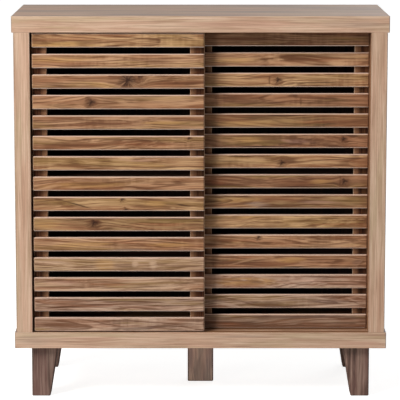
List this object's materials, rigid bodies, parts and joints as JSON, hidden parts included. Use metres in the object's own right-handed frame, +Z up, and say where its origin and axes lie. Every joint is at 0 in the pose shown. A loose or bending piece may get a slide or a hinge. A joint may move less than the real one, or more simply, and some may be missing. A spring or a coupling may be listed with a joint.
{
  "type": "shoe cabinet",
  "caption": "Low shoe cabinet with thick boards, two overlapping sliding slatted doors, shelves either side of a divider, and tapered legs.",
  "frame": {"origin": "on the floor, under the middle of the cabinet's width and depth", "axes": "+X to the right seen from the front, -Y out of the front, +Z up"},
  "size_m": [0.8, 0.35, 0.825],
  "materials": {
    "carcass_wood": "matt lacquered pale oak, straight grain",
    "slat_wood": "matt oiled brown hardwood, lively grain with knots",
    "stile_wood": "matt dark-stained hardwood",
    "inner_wood": "matt dark-stained board",
    "leg_wood": "matt grey-brown hardwood, upright grain",
    "nylon": "moulded nylon, satin"
  },
  "bodies": {
    "carcass": {"top_panel": "carcass_wood", "bottom_panel": "carcass_wood", "side_panel_left": "carcass_wood", "side_panel_right": "carcass_wood", "back_panel": "inner_wood", "centre_divider": "inner_wood", "shelf_left_lower": "inner_wood", "shelf_left_middle": "inner_wood", "shelf_left_upper": "inner_wood", "shelf_right_lower": "inner_wood", "shelf_right_middle": "inner_wood", "shelf_right_upper": "inner_wood", "leg_front_left": "leg_wood", "leg_front_right": "leg_wood", "leg_rear_left": "leg_wood", "leg_rear_right": "leg_wood", "leg_centre": "leg_wood"},
    "left_door": {"left_door_slat_01": "slat_wood", "left_door_slat_02": "slat_wood", "left_door_slat_03": "slat_wood", "left_door_slat_04": "slat_wood", "left_door_slat_05": "slat_wood", "left_door_slat_06": "slat_wood", "left_door_slat_07": "slat_wood", "left_door_slat_08": "slat_wood", "left_door_slat_09": "slat_wood", "left_door_slat_10": "slat_wood", "left_door_slat_11": "slat_wood", "left_door_slat_12": "slat_wood", "left_door_slat_13": "slat_wood", "left_door_slat_14": "slat_wood", "left_door_slat_15": "slat_wood", "left_door_stile_left": "stile_wood", "left_door_stile_right": "stile_wood", "left_door_top_peg_left": "nylon", "left_door_top_peg_right": "nylon", "left_door_bottom_shoe_left": "nylon", "left_door_bottom_shoe_right": "nylon"},
    "right_door": {"right_door_slat_01": "slat_wood", "right_door_slat_02": "slat_wood", "right_door_slat_03": "slat_wood", "right_door_slat_04": "slat_wood", "right_door_slat_05": "slat_wood", "right_door_slat_06": "slat_wood", "right_door_slat_07": "slat_wood", "right_door_slat_08": "slat_wood", "right_door_slat_09": "slat_wood", "right_door_slat_10": "slat_wood", "right_door_slat_11": "slat_wood", "right_door_slat_12": "slat_wood", "right_door_slat_13": "slat_wood", "right_door_slat_14": "slat_wood", "right_door_slat_15": "slat_wood", "right_door_stile_left": "stile_wood", "right_door_stile_right": "stile_wood", "right_door_top_peg_left": "nylon", "right_door_top_peg_right": "nylon", "right_door_bottom_shoe_left": "nylon", "right_door_bottom_shoe_right": "nylon"}
  },
  "joints": [
    {"name": "left_door_slide", "type": "slide", "parent": "carcass", "child": "left_door", "axis": [1, 0, 0], "range_m": [0, 0.349]},
    {"name": "right_door_slide", "type": "slide", "parent": "carcass", "child": "right_door", "axis": [-1, 0, 0], "range_m": [0, 0.3515]}
  ]
}
